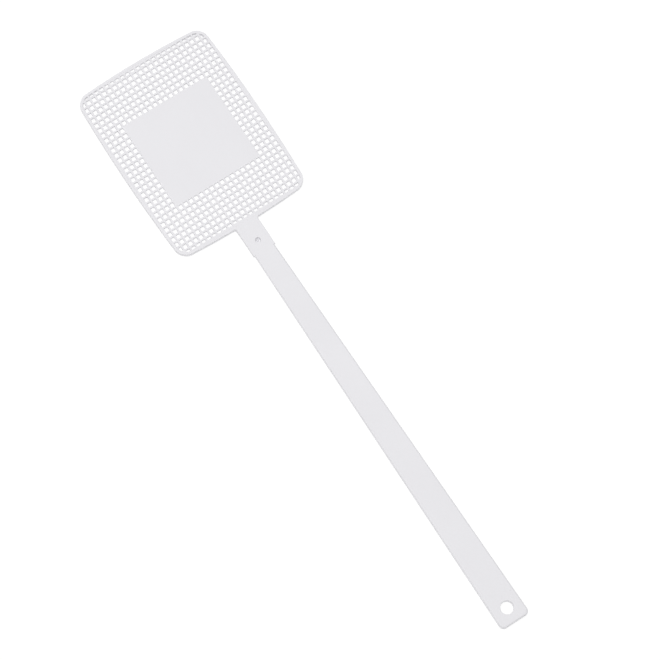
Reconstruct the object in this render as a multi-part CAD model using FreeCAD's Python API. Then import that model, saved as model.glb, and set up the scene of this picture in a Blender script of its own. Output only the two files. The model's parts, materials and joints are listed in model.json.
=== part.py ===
import FreeCAD, Part
import math
import os
from FreeCAD import Vector

# Flat one-piece fly swatter in white polypropylene: a framed mesh head with a solid square panel,
# a short stiff tongue, and a long flat handle that is slimmest behind the tongue and ends in a
# hanging hole. The moulding is modelled as its members, which meet face to face.
#
# Frame: the swatter lies flat. +Z is up, +Y runs from the handle's end to the head's tip, and X is
# across. The origin is under the middle of the swatter, on the surface that it lies on.
# All lengths are in millimetres. The tongue and the handle are centred in height on the mid plane
# of the moulding. The mesh and its panel lie just below the top of the rim.

# Whole moulding
overall_length = 442.0
moulding_height = 3.6

# Head: a rim whose four sides bow gently outwards
head_width = 100.7
head_length = 131.4
head_corner_radius = 9.0
long_side_bow_radius = 1080.0
short_side_bow_radius = 610.0
rim_width = 1.9

# Mesh: square holes on a square pitch, in whole cells around a solid square panel
mesh_pitch = 4.0
mesh_hole = 2.7
mesh_thickness = 1.8
mesh_sink = 0.1
mesh_columns = 24
mesh_rows = 32
mesh_shift = 0.3
end_hole_length = 1.7
panel_cells = 16
ledge_width = 0.15
smallest_hole_area = 2.0

# Tongue: the stiff step between the head and the handle, with the gate's round well
tongue_length = 21.4
tongue_width = 16.6
tongue_fillet = 1.2
gate_inset = 13.5
gate_radius = 1.8
gate_depth = 1.7
gate_stub_radius = 0.5
gate_stub_height = 0.5

# Handle: a flat blade that widens and thickens towards its end
neck_width = 15.4
end_width = 21.6
neck_thickness = 2.8
blade_edge_radius = 1.2
flex_length = 70.0
eye_length = 21.0
end_corner_radius = 3.5
hanging_hole_radius = 4.25
hanging_hole_inset = 10.5
edge_tolerance = 0.01

# Places along Y, and heights
mid_height = moulding_height / 2.0
tip_y = overall_length / 2.0
end_y = -tip_y
head_y = tip_y - head_length / 2.0
mesh_y = head_y + mesh_shift
head_foot_y = tip_y - head_length
tongue_foot_y = head_foot_y - tongue_length
flex_foot_y = tongue_foot_y - flex_length
eye_top_y = end_y + eye_length
panel_half = panel_cells * mesh_pitch / 2.0
mesh_low_z = moulding_height - mesh_sink - mesh_thickness


def arc_about(centre, radius, start_deg, end_deg):
    """An arc in the XY plane about a centre, from one polar angle to another."""
    def point(angle_deg):
        angle = math.radians(angle_deg)
        return centre + Vector(radius * math.cos(angle), radius * math.sin(angle), 0.0)
    return Part.Arc(point(start_deg), point((start_deg + end_deg) / 2.0), point(end_deg)).toShape()


def mirrored_ring(quarter):
    """A closed wire about the origin, from the edges of its upper right quarter in order."""
    upper = quarter + [edge.mirror(Vector(), Vector(1.0, 0.0, 0.0)) for edge in reversed(quarter)]
    lower = [edge.mirror(Vector(), Vector(0.0, 1.0, 0.0)) for edge in reversed(upper)]
    return Part.Wire(upper + lower)


def head_outline(inset):
    """The head's outline, drawn in by inset: four bowed sides that run into four corner rounds.

    A corner round is centred where the side's and the end's arcs, both drawn in by the corner
    radius, meet. There both arcs' radii point the way that they do at the ends of the round."""
    side_centre = Vector(head_width / 2.0 - long_side_bow_radius, 0.0, 0.0)
    end_centre = Vector(0.0, head_length / 2.0 - short_side_bow_radius, 0.0)
    side_reach = long_side_bow_radius - head_corner_radius
    end_reach = short_side_bow_radius - head_corner_radius
    between = end_centre - side_centre
    gap = between.Length
    along = (side_reach ** 2 - end_reach ** 2 + gap ** 2) / (2.0 * gap)
    across = math.sqrt(side_reach ** 2 - along ** 2)
    corner = side_centre + between * (along / gap) + Vector(-between.y, between.x, 0.0) * (across / gap)
    side_lean = math.degrees(math.atan2(corner.y, corner.x - side_centre.x))
    end_lean = math.degrees(math.atan2(corner.y - end_centre.y, corner.x))
    outline = mirrored_ring([
        arc_about(side_centre, long_side_bow_radius - inset, 0.0, side_lean),
        arc_about(corner, head_corner_radius - inset, side_lean, end_lean),
        arc_about(end_centre, short_side_bow_radius - inset, end_lean, 90.0),
    ])
    outline.translate(Vector(0.0, head_y, 0.0))
    return outline


def rectangle(low_x, low_y, high_x, high_y):
    """A rectangular face in the XY plane."""
    return Part.makePlane(high_x - low_x, high_y - low_y, Vector(low_x, low_y, 0.0))


def raised(face, low_z, thickness):
    """A face in the XY plane made into a solid from low_z up."""
    solid = face.extrude(Vector(0.0, 0.0, thickness))
    solid.translate(Vector(0.0, 0.0, low_z))
    return solid


def head_rim():
    """The head's frame: a band of even width and the moulding's full height."""
    band = Part.makeFace([head_outline(0.0), head_outline(rim_width)], "Part::FaceMakerBullseye")
    return raised(band, 0.0, moulding_height)


def striking_panel():
    """The solid square in the middle of the mesh, flush with it."""
    face = rectangle(-panel_half, mesh_y - panel_half, panel_half, mesh_y + panel_half)
    return raised(face, mesh_low_z, mesh_thickness)


def open_area():
    """Where the mesh may be open: inside a narrow ledge along the rim, and no further out than the
    shortened holes of the first and the last row."""
    inside_ledge = Part.Face(head_outline(rim_width + ledge_width))
    rib_width = mesh_pitch - mesh_hole
    reach = (mesh_rows * mesh_pitch - rib_width) / 2.0 - (mesh_hole - end_hole_length)
    half = head_width / 2.0
    return inside_ledge.common(rectangle(-half, mesh_y - reach, half, mesh_y + reach))


def mesh_holes(low_x, low_y, high_x, high_y):
    """Outlines of the mesh holes whose cells lie in a region. A hole that reaches over the ledge
    keeps the part inside it, unless too little is left."""
    half = mesh_hole / 2.0
    inside_ledge = open_area()
    outlines = []
    for column in range(mesh_columns):
        x = (column - (mesh_columns - 1) / 2.0) * mesh_pitch
        for row in range(mesh_rows):
            y = mesh_y + (row - (mesh_rows - 1) / 2.0) * mesh_pitch
            if low_x < x < high_x and low_y < y < high_y:
                hole = rectangle(x - half, y - half, x + half, y + half).common(inside_ledge)
                if hole.Area > smallest_hole_area:
                    outlines.append(hole.Faces[0].OuterWire)
    return outlines


def mesh_strip(low_x, low_y, high_x, high_y):
    """One strip of the mesh, from the panel or a neighbouring strip out to the rim's inner wall."""
    strip = rectangle(low_x, low_y, high_x, high_y).common(Part.Face(head_outline(rim_width)))
    wires = [strip.Faces[0].OuterWire] + mesh_holes(low_x, low_y, high_x, high_y)
    return raised(Part.makeFace(wires, "Part::FaceMakerBullseye"), mesh_low_z, mesh_thickness)


def neck_tongue():
    """The stiff step below the head, flared into the rim, with the gate's well and stub on top. It
    has the rim's height at its flare and thins evenly to the blade's height at its foot."""
    half = tongue_width / 2.0
    rim_centre = Vector(0.0, head_foot_y + short_side_bow_radius, 0.0)
    reach = short_side_bow_radius + tongue_fillet
    fillet_y = rim_centre.y - math.sqrt(reach ** 2 - (half + tongue_fillet) ** 2)
    right_fillet = Vector(half + tongue_fillet, fillet_y, 0.0)
    left_fillet = Vector(-half - tongue_fillet, fillet_y, 0.0)
    to_rim_deg = math.degrees(math.atan2(rim_centre.y - fillet_y, -right_fillet.x))
    lean_deg = to_rim_deg - 90.0
    edges = [
        Part.makeLine(Vector(-half, tongue_foot_y, 0.0), Vector(half, tongue_foot_y, 0.0)),
        Part.makeLine(Vector(half, tongue_foot_y, 0.0), Vector(half, fillet_y, 0.0)),
        arc_about(right_fillet, tongue_fillet, 180.0, to_rim_deg),
        arc_about(rim_centre, short_side_bow_radius, -90.0 + lean_deg, -90.0 - lean_deg),
        arc_about(left_fillet, tongue_fillet, 90.0 - lean_deg, 0.0),
        Part.makeLine(Vector(-half, fillet_y, 0.0), Vector(-half, tongue_foot_y, 0.0)),
    ]
    plate = raised(Part.Face(Part.Wire(edges)), 0.0, moulding_height)
    thinned = (moulding_height - neck_thickness) / 2.0
    side = Part.Face(Part.makePolygon([
        Vector(-head_width, tongue_foot_y, thinned),
        Vector(-head_width, fillet_y, 0.0),
        Vector(-head_width, head_y, 0.0),
        Vector(-head_width, head_y, moulding_height),
        Vector(-head_width, fillet_y, moulding_height),
        Vector(-head_width, tongue_foot_y, moulding_height - thinned),
        Vector(-head_width, tongue_foot_y, thinned),
    ]))
    tongue = plate.common(side.extrude(Vector(2.0 * head_width, 0.0, 0.0)))
    gate_y = head_foot_y - gate_inset
    gate_top_z = moulding_height - thinned * (fillet_y - gate_y) / (fillet_y - tongue_foot_y)
    gate_place = Vector(0.0, gate_y, gate_top_z - gate_depth)
    well = Part.makeCylinder(gate_radius, moulding_height, gate_place)
    stub = Part.makeCylinder(gate_stub_radius, gate_stub_height, gate_place)
    return tongue.cut(well.cut(stub))


def blade_width(y):
    """The handle's width, which grows evenly from the tongue to the end."""
    share = (tongue_foot_y - y) / (tongue_foot_y - end_y)
    return neck_width + (end_width - neck_width) * share


def blade_thickness(y):
    """The handle's thickness, which grows evenly from the tongue to the hanging eye."""
    share = (tongue_foot_y - y) / (tongue_foot_y - eye_top_y)
    return neck_thickness + (moulding_height - neck_thickness) * share


def blade_section(y):
    """The handle's cross-section at y: a flat rectangle with rounded corners."""
    radius = blade_edge_radius
    half = blade_width(y) / 2.0
    high = blade_thickness(y) / 2.0
    section = mirrored_ring([
        Part.makeLine(Vector(half, 0.0, 0.0), Vector(half, high - radius, 0.0)),
        arc_about(Vector(half - radius, high - radius, 0.0), radius, 0.0, 90.0),
        Part.makeLine(Vector(half - radius, high, 0.0), Vector(0.0, high, 0.0)),
    ])
    section.rotate(Vector(), Vector(1.0, 0.0, 0.0), 90.0)
    section.translate(Vector(0.0, y, mid_height))
    return section


def blade_span(high_y, low_y):
    """A stretch of the handle between two cross-sections."""
    return Part.makeLoft([blade_section(high_y), blade_section(low_y)], True, True)


def hanging_eye():
    """The handle's end: full height, with rounded corners and edges, and the hanging hole."""
    top_half = blade_width(eye_top_y) / 2.0
    end_half = blade_width(end_y) / 2.0
    corners = [
        Vector(-top_half, eye_top_y, 0.0),
        Vector(top_half, eye_top_y, 0.0),
        Vector(end_half, end_y, 0.0),
        Vector(-end_half, end_y, 0.0),
    ]
    eye = raised(Part.Face(Part.makePolygon(corners + corners[:1])), 0.0, moulding_height)
    below_top = eye_top_y - edge_tolerance
    end_corners = [edge for edge in eye.Edges
                   if edge.BoundBox.ZLength > mid_height and edge.CenterOfMass.y < below_top]
    eye = eye.makeFillet(end_corner_radius, end_corners)
    rims = [edge for edge in eye.Edges
            if edge.BoundBox.ZLength < mid_height and edge.CenterOfMass.y < below_top]
    eye = eye.makeFillet(blade_edge_radius, rims)
    hole_place = Vector(0.0, end_y + hanging_hole_inset, 0.0)
    return eye.cut(Part.makeCylinder(hanging_hole_radius, moulding_height, hole_place))


head_half = head_width / 2.0
panel_foot_y = mesh_y - panel_half
panel_top_y = mesh_y + panel_half
members = {
    "head_rim": head_rim(),
    "striking_panel": striking_panel(),
    "tip_mesh": mesh_strip(-head_half, panel_top_y, head_half, tip_y),
    "neck_mesh": mesh_strip(-head_half, head_foot_y, head_half, panel_foot_y),
    "left_mesh": mesh_strip(-head_half, panel_foot_y, -panel_half, panel_top_y),
    "right_mesh": mesh_strip(panel_half, panel_foot_y, head_half, panel_top_y),
    "neck_tongue": neck_tongue(),
    "flex_blade": blade_span(tongue_foot_y, flex_foot_y),
    "handle_blade": blade_span(flex_foot_y, eye_top_y),
    "hanging_eye": hanging_eye(),
}

os.makedirs("parts", exist_ok=True)
for name, shape in members.items():
    if not shape.isValid() or len(shape.Solids) != 1:
        raise ValueError(name + " is not one sound solid")
    shape.exportStep("parts/" + name + ".step")
    print(name, round(shape.Volume, 1), "mm3")
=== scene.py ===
import json
import math

import bmesh
import bpy
import numpy as np
from mathutils import Matrix, Vector
from mathutils.geometry import delaunay_2d_cdt


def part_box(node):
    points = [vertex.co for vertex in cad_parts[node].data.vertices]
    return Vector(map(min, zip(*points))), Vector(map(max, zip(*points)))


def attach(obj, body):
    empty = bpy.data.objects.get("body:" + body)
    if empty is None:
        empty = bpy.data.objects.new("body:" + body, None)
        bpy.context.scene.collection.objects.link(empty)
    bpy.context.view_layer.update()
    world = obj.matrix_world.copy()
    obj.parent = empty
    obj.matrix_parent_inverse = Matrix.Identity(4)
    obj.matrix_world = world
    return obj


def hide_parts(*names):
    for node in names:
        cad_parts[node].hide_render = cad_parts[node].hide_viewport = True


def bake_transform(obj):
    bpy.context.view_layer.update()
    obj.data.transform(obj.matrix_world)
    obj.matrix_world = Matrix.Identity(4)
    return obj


# The looks of a flat one-piece fly swatter in white plastic: a framed mesh head with a solid square
# panel, a stiff tongue with the moulding's gate mark, and a long flat handle with a hanging hole.
# Each member of the frame gets a finished piece. The pieces have rounded edges, draft on the walls
# and a parting line round the outside.

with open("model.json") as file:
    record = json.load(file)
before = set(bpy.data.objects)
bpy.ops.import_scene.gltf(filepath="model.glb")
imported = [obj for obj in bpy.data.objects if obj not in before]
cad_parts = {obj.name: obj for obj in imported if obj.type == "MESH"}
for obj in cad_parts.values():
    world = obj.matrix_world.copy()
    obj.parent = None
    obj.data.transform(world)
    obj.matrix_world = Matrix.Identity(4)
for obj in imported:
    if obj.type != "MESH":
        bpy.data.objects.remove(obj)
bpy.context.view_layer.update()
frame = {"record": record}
mm = 0.001

# Places and sizes from the frame
rim_low, rim_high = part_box("head_rim")
panel_low, panel_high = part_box("striking_panel")
eye_low, eye_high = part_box("hanging_eye")
tongue_foot_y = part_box("neck_tongue")[0].y
flex_foot_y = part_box("flex_blade")[0].y
head_half_width = (rim_high.x - rim_low.x) / 2
head_half_length = (rim_high.y - rim_low.y) / 2
head_y = (rim_high.y + rim_low.y) / 2
moulding_height = rim_high.z
mid_height = moulding_height / 2
panel_half = panel_high.x
mesh_y = (panel_high.y + panel_low.y) / 2
mesh_low_z = panel_low.z
mesh_high_z = panel_high.z
eye_top_y = eye_high.y
end_y = eye_low.y
end_half_width = eye_high.x
hanging_hole = next(m for m in frame["record"]["mounts"] if m["name"] == "hanging_hole")

# Driving sizes that the frame's solids were drawn with
head_corner_radius = 9.0 * mm
long_side_bow_radius = 1080.0 * mm
short_side_bow_radius = 610.0 * mm
rim_width = 1.9 * mm
mesh_pitch = 4.0 * mm
mesh_hole = 2.7 * mm
mesh_columns = 24
mesh_rows = 32
ledge_width = 0.15 * mm
end_hole_length = 1.7 * mm
smallest_hole_area = 2.0 * mm ** 2
tongue_half_width = 8.3 * mm
tongue_fillet = 1.2 * mm
tongue_split_drop = 0.5 * mm
gate_inset = 13.5 * mm
gate_radius = 1.8 * mm
gate_depth = 1.7 * mm
gate_stub_radius = 0.5 * mm
gate_stub_height = 0.5 * mm
neck_half_width = 7.7 * mm
neck_thickness = 2.8 * mm
blade_edge_radius = 1.2 * mm
end_corner_radius = 3.5 * mm

# Finish of the moulding: rounded edges, draft, parting line, gate and ejector marks
frame_edge_radius = 0.4 * mm
inner_edge_radius = 0.2 * mm
hole_edge_radius = 0.2 * mm
hole_corner_radius = 0.3 * mm
eye_hole_edge_radius = 0.4 * mm
wall_draft = 0.06 * mm
hole_draft = 0.05 * mm
eye_hole_draft = 0.03 * mm
parting_ridge = 0.04 * mm
parting_half_width = 0.08 * mm
gate_lip = 0.15 * mm
ejector_radius = 2.5 * mm
ejector_depth = 0.12 * mm
ejector_shoulder = 0.05 * mm
ejector_spread = 0.72 * panel_half

# How far one piece reaches into the next one's body
grid_lap = 0.5 * mm
blade_lap = 1.0 * mm

# The stretch of the eye that is drawn and cut off again, and the gap between swatter and table
eye_surplus = 5.0 * mm
floor_gap = 0.02 * mm

# How finely curves are divided
long_side_steps = 12
short_side_steps = 10
head_corner_steps = 28
fillet_steps = 8
hole_corner_steps = 3
end_corner_steps = 16
round_mark_steps = 32
hanging_hole_steps = 64
frame_edge_steps = 6
inner_edge_steps = 4
hole_edge_steps = 3
blade_edge_steps = 8
eye_hole_edge_steps = 5
blade_step = 2.0 * mm

# Limits for the outlines and the meshes
outline_gap = 0.5 * mm
smallest_side = 0.01 * mm
smallest_turn = math.radians(15.0)
largest_reach_share = 0.45
sharp_angle = math.radians(50.0)
cut_tolerance = 0.0001 * mm
fill_tolerance = 1e-6


# Outlines, as rows of X and Y

def arc(centre, radius, start, end, steps):
    """Points along an arc about a centre, from one polar angle to another, ends included."""
    angles = np.linspace(start, end, steps + 1)
    return np.column_stack([centre[0] + radius * np.cos(angles), centre[1] + radius * np.sin(angles)])


def circle(centre, radius, steps):
    """A clockwise circle, which is a hole's direction."""
    return arc(centre, radius, 0.0, -2.0 * math.pi, steps)[:-1]


def rectangle(low_x, low_y, high_x, high_y):
    """A rectangle, counter-clockwise."""
    return np.array([(low_x, low_y), (high_x, low_y), (high_x, high_y), (low_x, high_y)])


def head_outline(inset):
    """The head's outline, drawn in by inset: four bowed sides that run into four corner rounds."""
    side_centre = np.array([head_half_width - long_side_bow_radius, 0.0])
    end_centre = np.array([0.0, head_half_length - short_side_bow_radius])
    side_reach = long_side_bow_radius - head_corner_radius
    end_reach = short_side_bow_radius - head_corner_radius
    between = end_centre - side_centre
    gap = np.linalg.norm(between)
    along = (side_reach ** 2 - end_reach ** 2 + gap ** 2) / (2.0 * gap)
    across = math.sqrt(side_reach ** 2 - along ** 2)
    turned = np.array([-between[1], between[0]])
    corner = side_centre + between * (along / gap) + turned * (across / gap)
    side_lean = math.atan2(corner[1], corner[0] - side_centre[0])
    end_lean = math.atan2(corner[1] - end_centre[1], corner[0])
    quarter = np.vstack([
        arc(side_centre, long_side_bow_radius - inset, 0.0, side_lean, long_side_steps),
        arc(corner, head_corner_radius - inset, side_lean, end_lean, head_corner_steps)[1:],
        arc(end_centre, short_side_bow_radius - inset, end_lean, math.pi / 2.0, short_side_steps)[1:],
    ])
    upper = np.vstack([quarter, (quarter[:-1] * (-1.0, 1.0))[::-1]])
    ring = np.vstack([upper, (upper[1:-1] * (1.0, -1.0))[::-1]])
    return ring + (0.0, head_y)


def drawn_in(outline, inset):
    """An outline moved by inset to the left of its direction, which is into the material."""
    ahead = np.roll(outline, -1, axis=0) - outline
    ahead /= np.linalg.norm(ahead, axis=1)[:, None]
    left = np.column_stack([-ahead[:, 1], ahead[:, 0]])
    left_before = np.roll(left, 1, axis=0)
    share = 1.0 + (left * left_before).sum(axis=1)
    return outline + inset * (left + left_before) / share[:, None]


def clipped(outline, window):
    """The part of a convex outline inside a convex window, both counter-clockwise."""
    points = [Vector(p) for p in outline]
    corners = [Vector(p) for p in window]
    for start, end in zip(corners, corners[1:] + corners[:1]):
        side = end - start
        depths = [side.cross(p - start) for p in points]
        if min(depths) >= 0.0:
            continue
        kept = []
        for n, here in enumerate(points):
            before, depth, depth_before = points[n - 1], depths[n], depths[n - 1]
            if (depth < 0.0) != (depth_before < 0.0):
                kept.append(before.lerp(here, depth_before / (depth_before - depth)))
            if depth >= 0.0:
                kept.append(here)
        if not kept:
            return np.zeros((0, 2))
        points = kept
    apart = [p for n, p in enumerate(points) if (p - points[n - 1]).length > smallest_side]
    return np.array(apart)


def area_of(outline):
    """The area inside an outline."""
    x, y = outline[:, 0], outline[:, 1]
    return abs(np.dot(x, np.roll(y, -1)) - np.dot(y, np.roll(x, -1))) / 2.0


def rounded(outline, radius, steps):
    """A convex outline, counter-clockwise, with its real corners rounded. Where a side is too short
    for the radius, the corner gets a smaller one."""
    count = len(outline)
    points = []
    for n in range(count):
        here = Vector(outline[n])
        back = here - Vector(outline[n - 1])
        ahead = Vector(outline[(n + 1) % count]) - here
        turn = math.atan2(back.cross(ahead), back.dot(ahead))
        if turn < smallest_turn:
            points.append(tuple(here))
            continue
        longest_reach = largest_reach_share * min(back.length, ahead.length)
        reach = min(radius * math.tan(turn / 2.0), longest_reach)
        real_radius = reach / math.tan(turn / 2.0)
        back.normalize()
        start = here - back * reach
        centre = start + Vector((-back.y, back.x)) * real_radius
        first = math.atan2(start.y - centre.y, start.x - centre.x)
        points += [tuple(p) for p in arc(centre, real_radius, first, first + turn, steps)]
    return np.array(points)


def edge_profile(low_z, high_z, rounding, steps, draft, ridge=0.0):
    """How far an outline is drawn in at each height, from the top face down its wall to the bottom
    face. Both edges are rounded, and the wall leans in by the draft on both sides of the parting
    line at mid height. With a ridge, the lean starts beside the line, so that the line stands out."""
    middle_z = (low_z + high_z) / 2.0
    upper = []
    for step in range(steps + 1):
        turn = math.pi / 2.0 * step / steps
        inset = draft + rounding * (1.0 - math.sin(turn))
        upper.append((inset, high_z - rounding * (1.0 - math.cos(turn))))
    if ridge:
        upper.append((ridge, middle_z + parting_half_width))
    lower = [(inset, low_z + high_z - z) for inset, z in reversed(upper)]
    return upper + [(0.0, middle_z)] + lower


# Meshes

class Shell:
    """The points and faces of one piece while it is made. A point's wear is 1 in the middle of a
    rounded edge, and about 0 on the faces beside it."""

    def __init__(self):
        self.points = []
        self.wear = []
        self.faces = []

    def add(self, points, wear=0.0):
        """Adds a row of points, and returns their numbers."""
        first = len(self.points)
        self.points += points
        self.wear += [wear] * len(points)
        return list(range(first, len(self.points)))

    def loop(self, outline, z, wear=0.0):
        """Adds an outline at one height, and returns its points' numbers."""
        return self.add([(x, y, z) for x, y in outline], wear)

    def band(self, upper, lower):
        """Joins two loops of the same length with quads."""
        for n in range(len(upper)):
            after = (n + 1) % len(upper)
            self.faces.append((lower[n], lower[after], upper[after], upper[n]))

    def wall(self, outline, profile):
        """Adds a wall round an outline, and returns its top and bottom loops."""
        insets = [inset for inset, z in profile]
        least, most = min(insets), max(insets)
        loops = []
        for inset, z in profile:
            share = (inset - least) / (most - least) if most > least else 0.0
            loops.append(self.loop(drawn_in(outline, inset), z, 1.0 - abs(2.0 * share - 1.0)))
        for upper, lower in zip(loops, loops[1:]):
            self.band(upper, lower)
        return loops[0], loops[-1]

    def turned(self, centre, profile, up):
        """Adds a turned recess in the top face, or with up False in the bottom face, and returns
        its outermost loop."""
        loops = [self.loop(circle(centre, radius, round_mark_steps), z) for radius, z in profile]
        for outer, inner in zip(loops, loops[1:]):
            self.band(*((outer, inner) if up else (inner, outer)))
        self.faces.append(tuple(reversed(loops[-1])) if up else tuple(loops[-1]))
        return loops[0]

    def fill(self, outer, holes, up):
        """Fills the flat face between an outer loop and its holes. A triangle whose three corners
        belong to one hole lies in that hole and is left out."""
        loops = [outer] + holes
        numbers = [n for loop in loops for n in loop]
        owner = [which for which, loop in enumerate(loops) for _ in loop]
        flat = [Vector(self.points[n][:2]) / mm for n in numbers]
        edges = []
        first = 0
        for loop in loops:
            edges += [(first + n, first + (n + 1) % len(loop)) for n in range(len(loop))]
            first += len(loop)
        inside_only = 1
        made = delaunay_2d_cdt(flat, edges, [list(range(len(outer)))], inside_only, fill_tolerance)
        triangles, origins = made[2], made[3]
        for triangle in triangles:
            corners = [origins[n][0] for n in triangle]
            owners = {owner[n] for n in corners}
            if len(owners) == 1 and owners != {0}:
                continue
            face = [numbers[n] for n in corners]
            self.faces.append(tuple(face) if up else tuple(reversed(face)))

    def mesh(self, name):
        """The mesh of these points and faces, with the wear as an attribute."""
        data = bpy.data.meshes.new(name)
        data.from_pydata(self.points, [], self.faces)
        data.attributes.new("edge_wear", "FLOAT", "POINT").data.foreach_set("value", self.wear)
        return data


def cut_off(data, y, keep_above):
    """Cuts a mesh at a plane across the handle, and caps it."""
    work = bmesh.new()
    work.from_mesh(data)
    outward = (0.0, -1.0, 0.0) if keep_above else (0.0, 1.0, 0.0)
    everything = work.verts[:] + work.edges[:] + work.faces[:]
    cut = bmesh.ops.bisect_plane(
        work, geom=everything, dist=cut_tolerance,
        plane_co=(0.0, y, 0.0), plane_no=outward, clear_outer=True)
    rims = [part for part in cut["geom_cut"] if isinstance(part, bmesh.types.BMEdge)]
    bmesh.ops.edgeloop_fill(work, edges=rims)
    work.to_mesh(data)
    work.free()


def finished(data, name):
    """Turns a mesh into an object with even shading: flat faces stay flat, and rounded edges smooth."""
    work = bmesh.new()
    work.from_mesh(data)
    bmesh.ops.recalc_face_normals(work, faces=work.faces[:])
    for face in work.faces:
        face.smooth = True
    for edge in work.edges:
        edge.smooth = edge.is_manifold and edge.calc_face_angle(0.0) < sharp_angle
    work.to_mesh(data)
    work.free()
    rough = bpy.data.objects.new(name + "_rough", data)
    bpy.context.collection.objects.link(rough)
    weighted = rough.modifiers.new("even_shading", "WEIGHTED_NORMAL")
    weighted.keep_sharp = True
    weighted.weight = 100
    graph = bpy.context.evaluated_depsgraph_get()
    final = bpy.data.meshes.new_from_object(rough.evaluated_get(graph))
    final.name = name
    bpy.data.objects.remove(rough)
    piece = bpy.data.objects.new(name, final)
    bpy.context.collection.objects.link(piece)
    return piece


# The head's rim and the tongue

def framed_outline():
    """The outer outline of the head with its tongue, counter-clockwise from the tongue's right foot,
    and the Y of the fillets' centres."""
    rim_centre_y = rim_low.y + short_side_bow_radius
    reach = short_side_bow_radius + tongue_fillet
    fillet_x = tongue_half_width + tongue_fillet
    fillet_y = rim_centre_y - math.sqrt(reach ** 2 - fillet_x ** 2)
    to_rim = math.atan2(rim_centre_y - fillet_y, -fillet_x)
    right_fillet = arc((fillet_x, fillet_y), tongue_fillet, math.pi, to_rim, fillet_steps)
    left_fillet = (right_fillet * (-1.0, 1.0))[::-1]
    ring = head_outline(0.0)
    over_tongue = np.abs(ring[:, 0]) <= right_fillet[-1, 0] + outline_gap
    around = ring[~(over_tongue & (ring[:, 1] <= head_y))]
    turn_from_tongue = np.arctan2(around[:, 0], head_y - around[:, 1]) % (2.0 * math.pi)
    around = around[np.argsort(turn_from_tongue)]
    right_foot = np.array([(tongue_half_width, tongue_foot_y)])
    return np.vstack([right_foot, right_fillet, around, left_fillet, right_foot * (-1.0, 1.0)]), fillet_y


def tongue_share(y, top_y):
    """The tongue's thickness at y, as a share of the full height that it has at its top."""
    return 1.0 - (1.0 - neck_thickness / moulding_height) * (top_y - y) / (top_y - tongue_foot_y)


def gate_profile(share):
    """The gate's well, from its lip down to its floor and up the sheared stub, as radius and height.
    It is drawn as much too deep as the tongue is thinned there afterwards. The lip's size sets the
    size of all its rounded corners."""
    lip = gate_lip
    top = moulding_height
    floor = top - gate_depth / share
    stub_top = floor + gate_stub_height / share
    return [
        (gate_radius + lip, top),
        (gate_radius + 0.4 * lip, top - 0.3 * lip),
        (gate_radius, top - lip),
        (gate_radius - 0.5 * lip, floor + 2.0 * lip),
        (gate_radius - 1.2 * lip, floor + 0.6 * lip),
        (gate_radius - 2.4 * lip, floor),
        (gate_stub_radius + 1.2 * lip, floor),
        (gate_stub_radius + 0.3 * lip, floor + 0.5 * lip),
        (gate_stub_radius, stub_top - 0.5 * lip),
        (gate_stub_radius - 0.6 * lip, stub_top),
        (0.4 * gate_stub_radius, stub_top - 0.4 * lip),
    ]


def frame_and_tongue():
    """The head's rim and the tongue. They are drawn as one plate and cut apart below the fillets,
    and then the tongue is thinned towards its foot."""
    outline, fillet_y = framed_outline()
    split_y = fillet_y - tongue_split_drop
    gate_y = rim_low.y - gate_inset
    outer_profile = edge_profile(
        0.0, moulding_height, frame_edge_radius, frame_edge_steps, wall_draft, parting_ridge)
    inner_profile = edge_profile(0.0, moulding_height, inner_edge_radius, inner_edge_steps, wall_draft)
    shell = Shell()
    top, bottom = shell.wall(outline, outer_profile)
    inner_top, inner_bottom = shell.wall(head_outline(rim_width)[::-1], inner_profile)
    gate = shell.turned((0.0, gate_y), gate_profile(tongue_share(gate_y, split_y)), True)
    shell.fill(top, [inner_top, gate], True)
    shell.fill(bottom, [inner_bottom], False)
    rim = shell.mesh("rim")
    tongue = rim.copy()
    cut_off(rim, split_y, True)
    cut_off(tongue, split_y, False)
    for vertex in tongue.vertices:
        vertex.co.z = mid_height + (vertex.co.z - mid_height) * tongue_share(vertex.co.y, split_y)
    return finished(rim, "moulded_rim"), finished(tongue, "moulded_tongue")


# The mesh and its panel

def grid_holes(low_x, low_y, high_x, high_y):
    """Outlines of the mesh's holes in one region, clockwise. The first and last rows of the whole
    mesh are shorter, and a hole that reaches over the ledge along the rim is cut short."""
    half = mesh_hole / 2.0
    last_row_end = mesh_rows / 2.0 * mesh_pitch - (mesh_pitch - mesh_hole) / 2.0
    reach = last_row_end - (mesh_hole - end_hole_length)
    between = rectangle(-head_half_width, mesh_y - reach, head_half_width, mesh_y + reach)
    open_area = clipped(head_outline(rim_width + ledge_width), between)
    holes = []
    for column in range(mesh_columns):
        x = (column - (mesh_columns - 1) / 2.0) * mesh_pitch
        for row in range(mesh_rows):
            y = mesh_y + (row - (mesh_rows - 1) / 2.0) * mesh_pitch
            if not (low_x < x < high_x and low_y < y < high_y):
                continue
            hole = clipped(rectangle(x - half, y - half, x + half, y + half), open_area)
            if len(hole) and area_of(hole) > smallest_hole_area:
                holes.append(rounded(hole, hole_corner_radius, hole_corner_steps)[::-1])
    return holes


def grid_strip(name, low_x, low_y, high_x, high_y):
    """One strip of the mesh. Its outer end laps into the rim's body."""
    straight = [(0.0, mesh_high_z), (0.0, mesh_low_z)]
    profile = edge_profile(mesh_low_z, mesh_high_z, hole_edge_radius, hole_edge_steps, hole_draft)
    outline = clipped(head_outline(rim_width - grid_lap), rectangle(low_x, low_y, high_x, high_y))
    shell = Shell()
    top, bottom = shell.wall(outline, straight)
    walls = [shell.wall(hole, profile) for hole in grid_holes(low_x, low_y, high_x, high_y)]
    shell.fill(top, [upper for upper, lower in walls], True)
    shell.fill(bottom, [lower for upper, lower in walls], False)
    return finished(shell.mesh(name), name)


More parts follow.
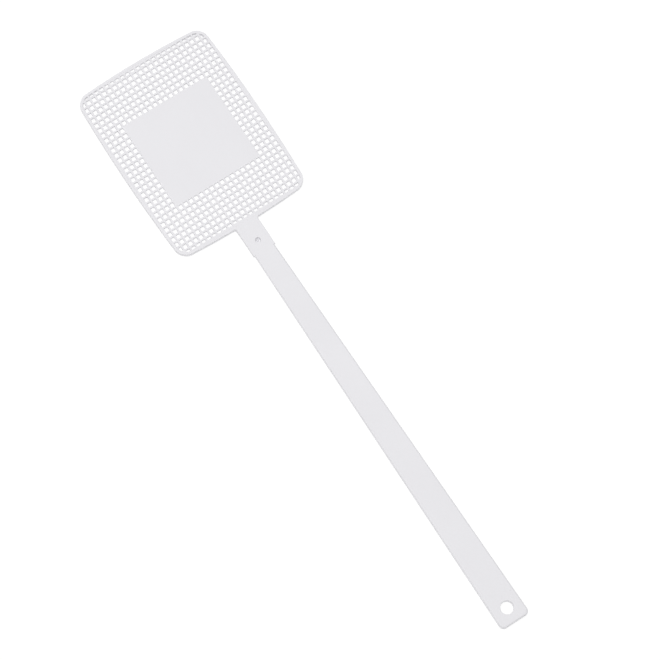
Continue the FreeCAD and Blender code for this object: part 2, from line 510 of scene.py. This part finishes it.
def ejector_profile(low_z):
    """A shallow round mark in an underside, as radius and height."""
    return [
        (ejector_radius, low_z),
        (ejector_radius - ejector_shoulder, low_z + 0.4 * ejector_depth),
        (ejector_radius - ejector_depth, low_z + ejector_depth),
        (0.3 * ejector_radius, low_z + ejector_depth),
    ]


def striking_panel():
    """The solid square, with the ejectors' marks under its corners."""
    straight = [(0.0, mesh_high_z), (0.0, mesh_low_z)]
    sides = (-ejector_spread, ejector_spread)
    places = [(x, mesh_y + y) for x in sides for y in sides]
    shell = Shell()
    top, bottom = shell.wall(rectangle(-panel_half, panel_low.y, panel_half, panel_high.y), straight)
    marks = [shell.turned(place, ejector_profile(mesh_low_z), False) for place in places]
    shell.fill(top, [], True)
    shell.fill(bottom, marks, False)
    return finished(shell.mesh("moulded_panel"), "moulded_panel")


# The handle

def blade_half_width(y):
    """Half the handle's width at y. It widens evenly from the tongue to the end."""
    share = (tongue_foot_y - y) / (tongue_foot_y - end_y)
    return neck_half_width + (end_half_width - neck_half_width) * share


def blade_section(y):
    """The handle's cross-section at y, as rows of X, Y and Z. It thickens evenly up to the eye."""
    share = (tongue_foot_y - y) / (tongue_foot_y - eye_top_y)
    half_height = (neck_thickness + (moulding_height - neck_thickness) * share) / 2.0
    profile = edge_profile(
        mid_height - half_height, mid_height + half_height, blade_edge_radius, blade_edge_steps,
        wall_draft, parting_ridge)
    right = [(blade_half_width(y) - inset, y, z) for inset, z in profile]
    left = [(-x, y, z) for x, y, z in reversed(right)]
    return right + left


def blade(name, low_y, high_y):
    """A stretch of the handle, from closely spaced cross-sections."""
    shell = Shell()
    count = round((high_y - low_y) / blade_step)
    loops = [shell.add(blade_section(y)) for y in np.linspace(high_y, low_y, count + 1)]
    for upper, lower in zip(loops, loops[1:]):
        shell.band(upper, lower)
    shell.faces.append(tuple(loops[0]))
    shell.faces.append(tuple(reversed(loops[-1])))
    return finished(shell.mesh(name), name)


def hanging_eye():
    """The handle's end, with its rounded corners and the hanging hole. It is drawn longer at its
    top and cut to length, so that no corner there is rounded."""
    drawn_top_y = eye_top_y + eye_surplus
    top_half = blade_half_width(drawn_top_y)
    corners = np.array([
        (-end_half_width, end_y),
        (end_half_width, end_y),
        (top_half, drawn_top_y),
        (-top_half, drawn_top_y),
    ])
    outline = rounded(corners, end_corner_radius, end_corner_steps)
    hole = circle(hanging_hole["pos_m"][:2], hanging_hole["dims"]["r_mm"] * mm, hanging_hole_steps)
    outer_profile = edge_profile(
        0.0, moulding_height, blade_edge_radius, blade_edge_steps, wall_draft, parting_ridge)
    hole_profile = edge_profile(
        0.0, moulding_height, eye_hole_edge_radius, eye_hole_edge_steps, eye_hole_draft)
    shell = Shell()
    top, bottom = shell.wall(outline, outer_profile)
    hole_top, hole_bottom = shell.wall(hole, hole_profile)
    shell.fill(top, [hole_top], True)
    shell.fill(bottom, [hole_bottom], False)
    data = shell.mesh("eye")
    cut_off(data, eye_top_y, False)
    return finished(data, "moulded_eye")


# Materials

def node(tree, kind, settings=None, **inputs):
    """Adds a shader node. Inputs are given by name, with spaces as underscores: a value or a socket."""
    made = tree.nodes.new("ShaderNode" + kind)
    for key, value in (settings or {}).items():
        setattr(made, key, value)
    for key, value in inputs.items():
        socket = made.inputs[key.replace("_", " ")]
        if isinstance(value, bpy.types.NodeSocket):
            tree.links.new(value, socket)
        else:
            socket.default_value = value
    return made


def white_plastic():
    """Satin white polypropylene, fresh from the mould: a fine grain, soft waviness, flow lines that
    run along the handle, a few hairline scratches, and edges that are a little smoother."""
    duller_white = (0.772, 0.765, 0.791, 1.0)
    brighter_white = (0.796, 0.789, 0.815, 1.0)
    flow_stretch = (1.0, 0.035, 1.0)
    scratch_stretch = (1.0, 0.02, 1.0)
    scratch_turns = (0.5, -0.9, 1.9)

    material = bpy.data.materials.new("white_plastic")
    material.use_nodes = True
    tree = material.node_tree
    shader = tree.nodes["Principled BSDF"]
    place = node(tree, "TexCoord").outputs["Object"]

    def noise(scale, detail, vector=place):
        """A noise pattern, whose scale counts its waves to a metre."""
        return node(tree, "TexNoise", Vector=vector, Scale=scale, Detail=detail).outputs["Fac"]

    def ranged(value, low, high, new_low, new_high):
        """A value that is mapped from one range to another, and stays inside the new one."""
        return node(tree, "MapRange", None, Value=value, From_Min=low, From_Max=high,
                    To_Min=new_low, To_Max=new_high).outputs["Result"]

    def spread(pattern, new_low, new_high):
        """A noise pattern mapped from the range where most of it lies."""
        return ranged(pattern, 0.3, 0.7, new_low, new_high)

    def added(first, second):
        """The sum of two values."""
        total = node(tree, "Math", {"operation": "ADD"})
        tree.links.new(first, total.inputs[0])
        tree.links.new(second, total.inputs[1])
        return total.outputs["Value"]

    def scratches(turn):
        """Hairlines in one direction: 1 on a line, and 0 beside it."""
        slanted = node(tree, "Mapping", Vector=place, Rotation=(0.0, 0.0, turn),
                       Scale=scratch_stretch).outputs["Vector"]
        return ranged(noise(700.0, 1.0, slanted), 0.70, 0.76, 0.0, 1.0)

    along_handle = node(tree, "Mapping", Vector=place, Scale=flow_stretch).outputs["Vector"]
    flow = noise(420.0, 3.0, along_handle)
    clouds = noise(22.0, 3.0)
    speckle = noise(1100.0, 1.0)
    first, second, third = [scratches(turn) for turn in scratch_turns]
    scratch = added(added(first, second), third)
    wear = node(tree, "Attribute", {"attribute_name": "edge_wear"}).outputs["Fac"]

    tone = added(spread(clouds, 0.0, 0.7), spread(flow, 0.0, 0.3))
    colour = node(tree, "Mix", {"data_type": "RGBA"}, Factor=tone)
    colour_a, colour_b, mixed = colour.inputs[6], colour.inputs[7], colour.outputs[2]
    colour_a.default_value = duller_white
    colour_b.default_value = brighter_white
    tree.links.new(mixed, shader.inputs["Base Color"])

    satin = added(spread(speckle, 0.36, 0.44), spread(flow, -0.02, 0.04))
    smoother = added(satin, ranged(wear, 0.0, 1.0, 0.0, -0.08))
    roughness = added(smoother, ranged(scratch, 0.0, 1.0, 0.0, 0.08))
    tree.links.new(roughness, shader.inputs["Roughness"])

    grain = node(tree, "Bump", Strength=0.6, Distance=0.004 * mm, Height=noise(3200.0, 2.0))
    waves = node(tree, "Bump", Strength=0.8, Distance=0.03 * mm, Height=noise(80.0, 1.0),
                 Normal=grain.outputs["Normal"])
    marked = node(tree, "Bump", {"invert": True}, Strength=0.5, Distance=0.003 * mm, Height=scratch,
                  Normal=waves.outputs["Normal"])
    tree.links.new(marked.outputs["Normal"], shader.inputs["Normal"])
    shader.inputs["IOR"].default_value = 1.49
    return material


def pale_table():
    """A lit white table top: pale, matt, and a little luminous, so that shadows on it stay faint."""
    material = bpy.data.materials.new("pale_table")
    material.use_nodes = True
    shader = material.node_tree.nodes["Principled BSDF"]
    shader.inputs["Base Color"].default_value = (0.26, 0.26, 0.26, 1.0)
    shader.inputs["Roughness"].default_value = 0.9
    shader.inputs["Specular IOR Level"].default_value = 0.1
    shader.inputs["Emission Color"].default_value = (1.0, 1.0, 1.0, 1.0)
    shader.inputs["Emission Strength"].default_value = 0.788
    return material


# Studio

def studio_floor():
    """The plain pale surface that the swatter lies on."""
    table_half = 12.0
    corners = rectangle(-table_half, -table_half, table_half, table_half)
    data = bpy.data.meshes.new("table")
    data.from_pydata([(x, y, -floor_gap) for x, y in corners], [], [(0, 1, 2, 3)])
    data.materials.append(pale_table())
    table = bpy.data.objects.new("table", data)
    bpy.context.collection.objects.link(table)


def softbox(name, place, aim, size, power):
    """A square softbox that faces a point."""
    lamp = bpy.data.lights.new(name, "AREA")
    lamp.size = size
    lamp.energy = power
    box = bpy.data.objects.new(name, lamp)
    box.location = place
    box.rotation_euler = (Vector(aim) - Vector(place)).to_track_quat("-Z", "Y").to_euler()
    bpy.context.collection.objects.link(box)


def studio_lights():
    """A large softbox overhead, and an even dim surround."""
    softbox("overhead", place=(-0.35, 0.6, 3.2), aim=(0.0, 0.0, 0.0), size=3.0, power=67.3)
    world = bpy.data.worlds.new("surround")
    world.use_nodes = True
    sky = world.node_tree.nodes["Background"]
    sky.inputs["Color"].default_value = (1.0, 1.0, 1.0, 1.0)
    sky.inputs["Strength"].default_value = 0.5
    bpy.context.scene.world = world
    bpy.context.scene.view_settings.view_transform = "Standard"


def camera():
    """A long lens that looks steeply down, with the swatter aslant across the frame."""
    azimuth, elevation, roll = math.radians(-46.0), math.radians(73.98), math.radians(12.99)
    distance = 2.0562
    aim = Vector((6.3 * mm, 0.95 * mm, mid_height))
    level = math.cos(elevation)
    back = Vector((math.sin(azimuth) * level, -math.cos(azimuth) * level, math.sin(elevation)))
    right = Vector((math.cos(azimuth), math.sin(azimuth), 0.0))
    up = back.cross(right)
    rolled_right = right * math.cos(roll) + up * math.sin(roll)
    rolled_up = up * math.cos(roll) - right * math.sin(roll)
    turned = Matrix((rolled_right, rolled_up, back)).transposed().to_4x4()
    lens = bpy.data.cameras.new("camera")
    lens.sensor_width = 36.0
    lens.lens = 174.55
    lens.clip_start = 0.05
    lens.clip_end = 60.0
    body = bpy.data.objects.new("camera", lens)
    body.matrix_world = Matrix.Translation(aim + back * distance) @ turned
    bpy.context.collection.objects.link(body)
    bpy.context.scene.camera = body


# The whole swatter

plastic = white_plastic()


def placed(piece, body, *nodes):
    """Gives a piece its finish and hides the nodes that it stands for; with a body, the piece rides on
    it.
    """
    piece.data.materials.append(plastic)
    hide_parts(*nodes)
    if body:
        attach(piece, body)


rim, tongue = frame_and_tongue()
placed(rim, "head", "head_rim")
placed(tongue, "head", "neck_tongue")
placed(striking_panel(), "head", "striking_panel")
tip_strip = grid_strip("tip_grid", -head_half_width, panel_high.y, head_half_width, rim_high.y)
neck_strip = grid_strip("neck_grid", -head_half_width, rim_low.y, head_half_width, panel_low.y)
left_strip = grid_strip("left_grid", -head_half_width, panel_low.y, -panel_half, panel_high.y)
right_strip = grid_strip("right_grid", panel_half, panel_low.y, head_half_width, panel_high.y)
placed(tip_strip, "head", "tip_mesh")
placed(neck_strip, "head", "neck_mesh")
placed(left_strip, "head", "left_mesh")
placed(right_strip, "head", "right_mesh")
placed(hanging_eye(), "handle", "hanging_eye")
placed(blade("moulded_handle", eye_top_y, flex_foot_y), "handle", "handle_blade")
springy = blade("springy_neck", flex_foot_y, tongue_foot_y + blade_lap)
placed(springy, None, "flex_blade")
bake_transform(springy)

studio_floor()
studio_lights()
camera()
